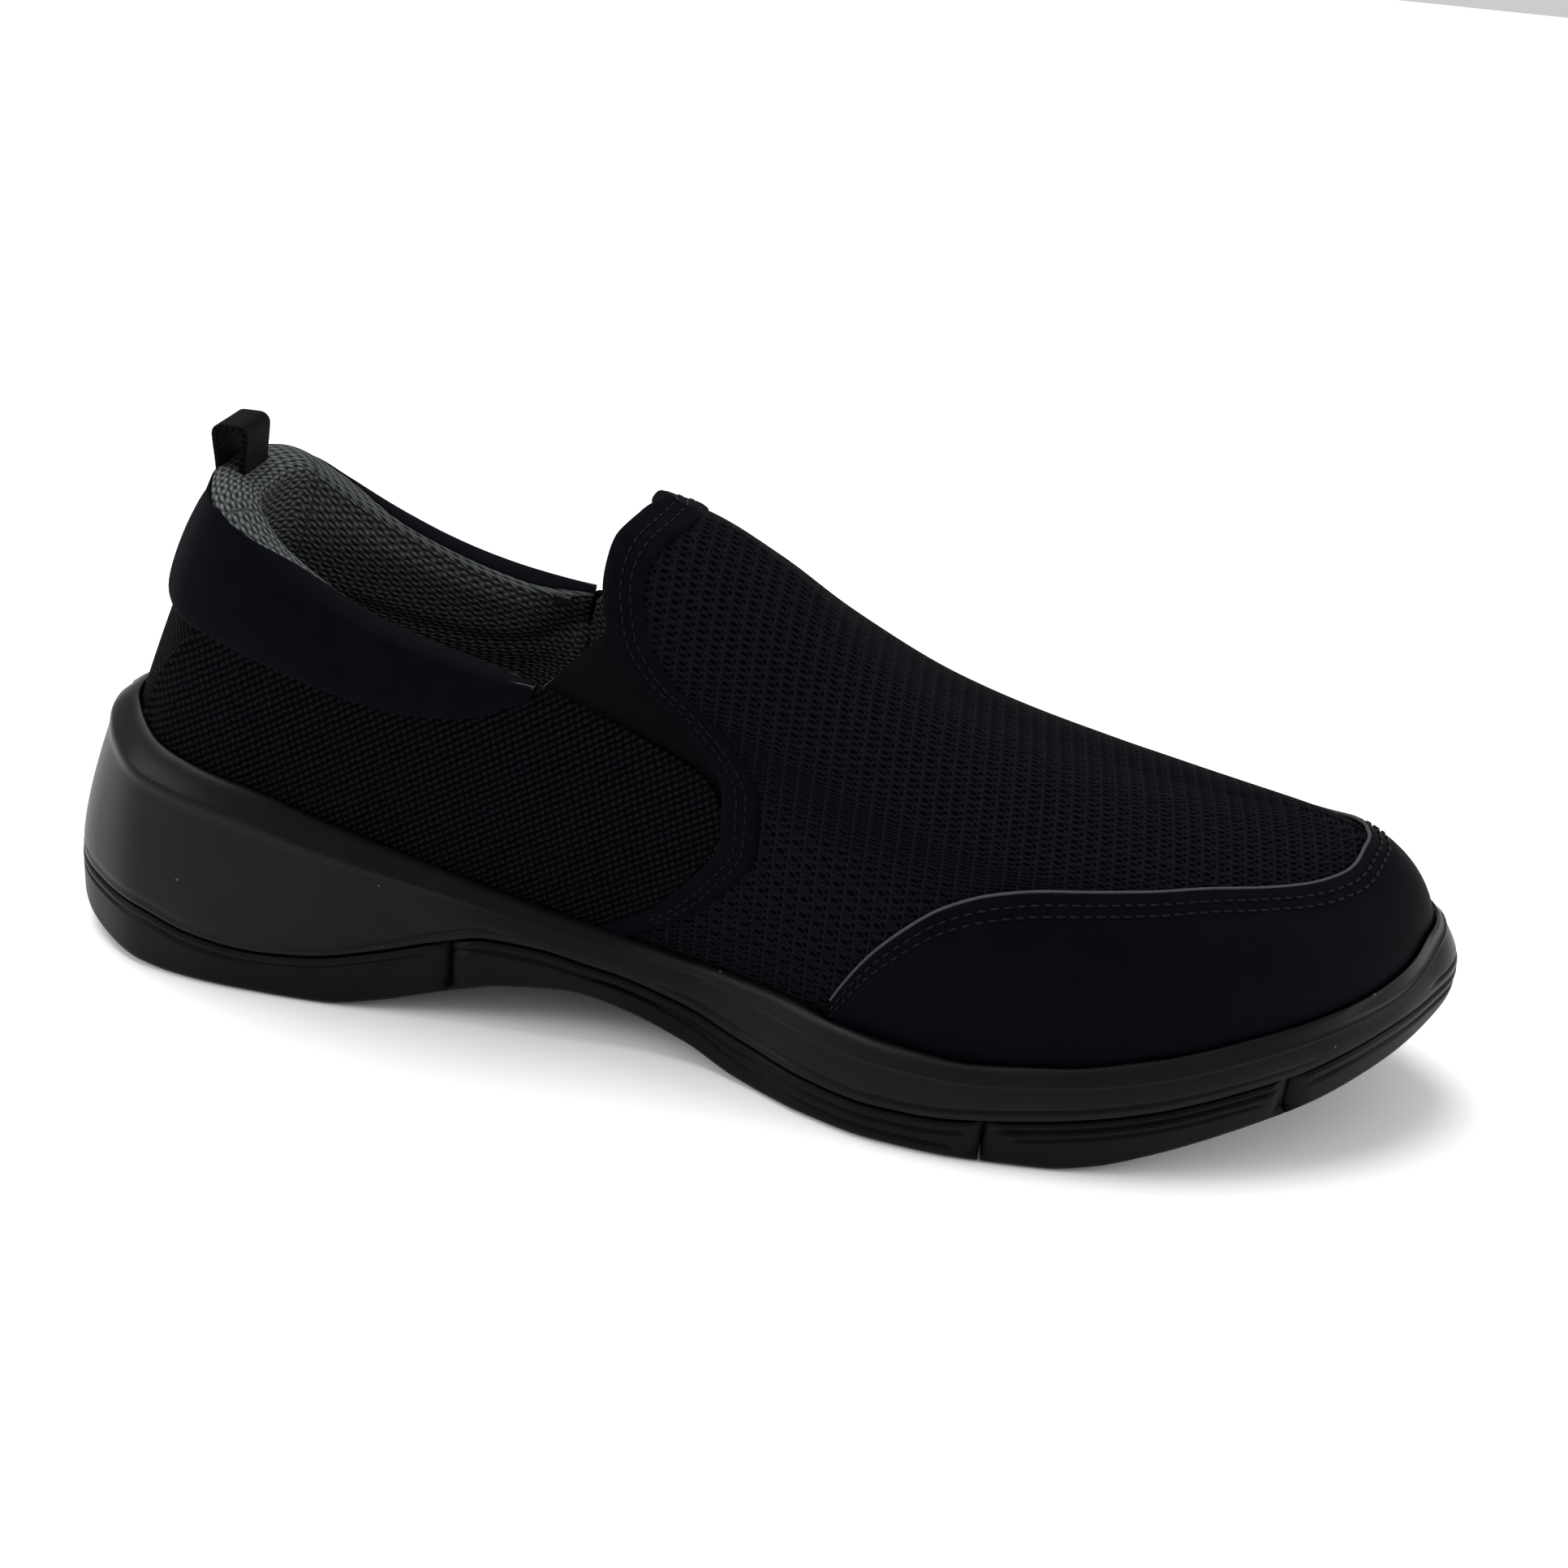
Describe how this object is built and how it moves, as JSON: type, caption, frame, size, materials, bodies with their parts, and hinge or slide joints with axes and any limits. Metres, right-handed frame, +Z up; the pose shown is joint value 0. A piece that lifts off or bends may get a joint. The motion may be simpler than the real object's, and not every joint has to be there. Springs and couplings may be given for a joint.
{
  "type": "slip-on shoe",
  "caption": "Low slip-on sports shoe, left foot: mesh upper with elastic gores, padded collar and heel loop, foam midsole standing on separate rubber pods.",
  "frame": {"origin": "on the ground, at the middle of the footprint's bounding box", "axes": "+X to the toe, +Y to the outer (lateral) side, +Z up"},
  "size_m": [0.302, 0.106, 0.1145],
  "materials": {
    "foam": "satin moulded foam",
    "rubber": "satin moulded rubber",
    "board": "stitched non-woven board",
    "sock": "brushed fabric over foam",
    "mesh": "knitted spacer mesh",
    "suede": "brushed synthetic nubuck",
    "microfibre": "smooth synthetic microfibre",
    "elastic": "ribbed woven elastic",
    "lining": "dotted spacer mesh",
    "padding": "open-cell foam",
    "stiffener": "thermoplastic sheet",
    "webbing": "flat woven webbing"
  },
  "bodies": {
    "shoe": {"midsole": "foam", "outsole_heel": "rubber", "outsole_arch_rail_medial": "rubber", "outsole_arch_rail_lateral": "rubber", "strobel_board": "board", "sock_liner": "sock", "quarter_medial": "mesh", "quarter_lateral": "mesh", "heel_panel": "mesh", "heel_counter": "stiffener", "collar_panel": "suede", "collar_foam": "padding", "collar_lining": "lining", "gore_medial": "elastic", "gore_lateral": "elastic", "quarter_lining_medial": "lining", "quarter_lining_lateral": "lining", "vamp": "mesh", "throat_band": "suede", "vamp_foam": "padding", "vamp_lining": "lining"},
    "forefoot": {"outsole_forefoot_medial": "rubber", "outsole_forefoot_lateral": "rubber", "outsole_toe": "rubber", "toe_cap": "microfibre", "toe_puff": "stiffener"},
    "heel_loop": {"pull_loop": "webbing"}
  },
  "joints": [
    {"name": "toe_flex", "type": "hinge", "parent": "shoe", "child": "forefoot", "pos_m": [0.053, 0, 0.014], "axis": [0, -1, 0], "range_deg": [0, 30], "stiffness_Nm_per_rad": 6, "deforming": ["midsole", "strobel_board", "sock_liner", "vamp", "vamp_foam", "vamp_lining", "toe_cap"]},
    {"name": "pull_loop_fold", "type": "hinge", "parent": "shoe", "child": "heel_loop", "pos_m": [-0.1179, 0.0045, 0.1065], "axis": [0, 1, 0], "range_deg": [-50, 0], "stiffness_Nm_per_rad": 0.02}
  ]
}
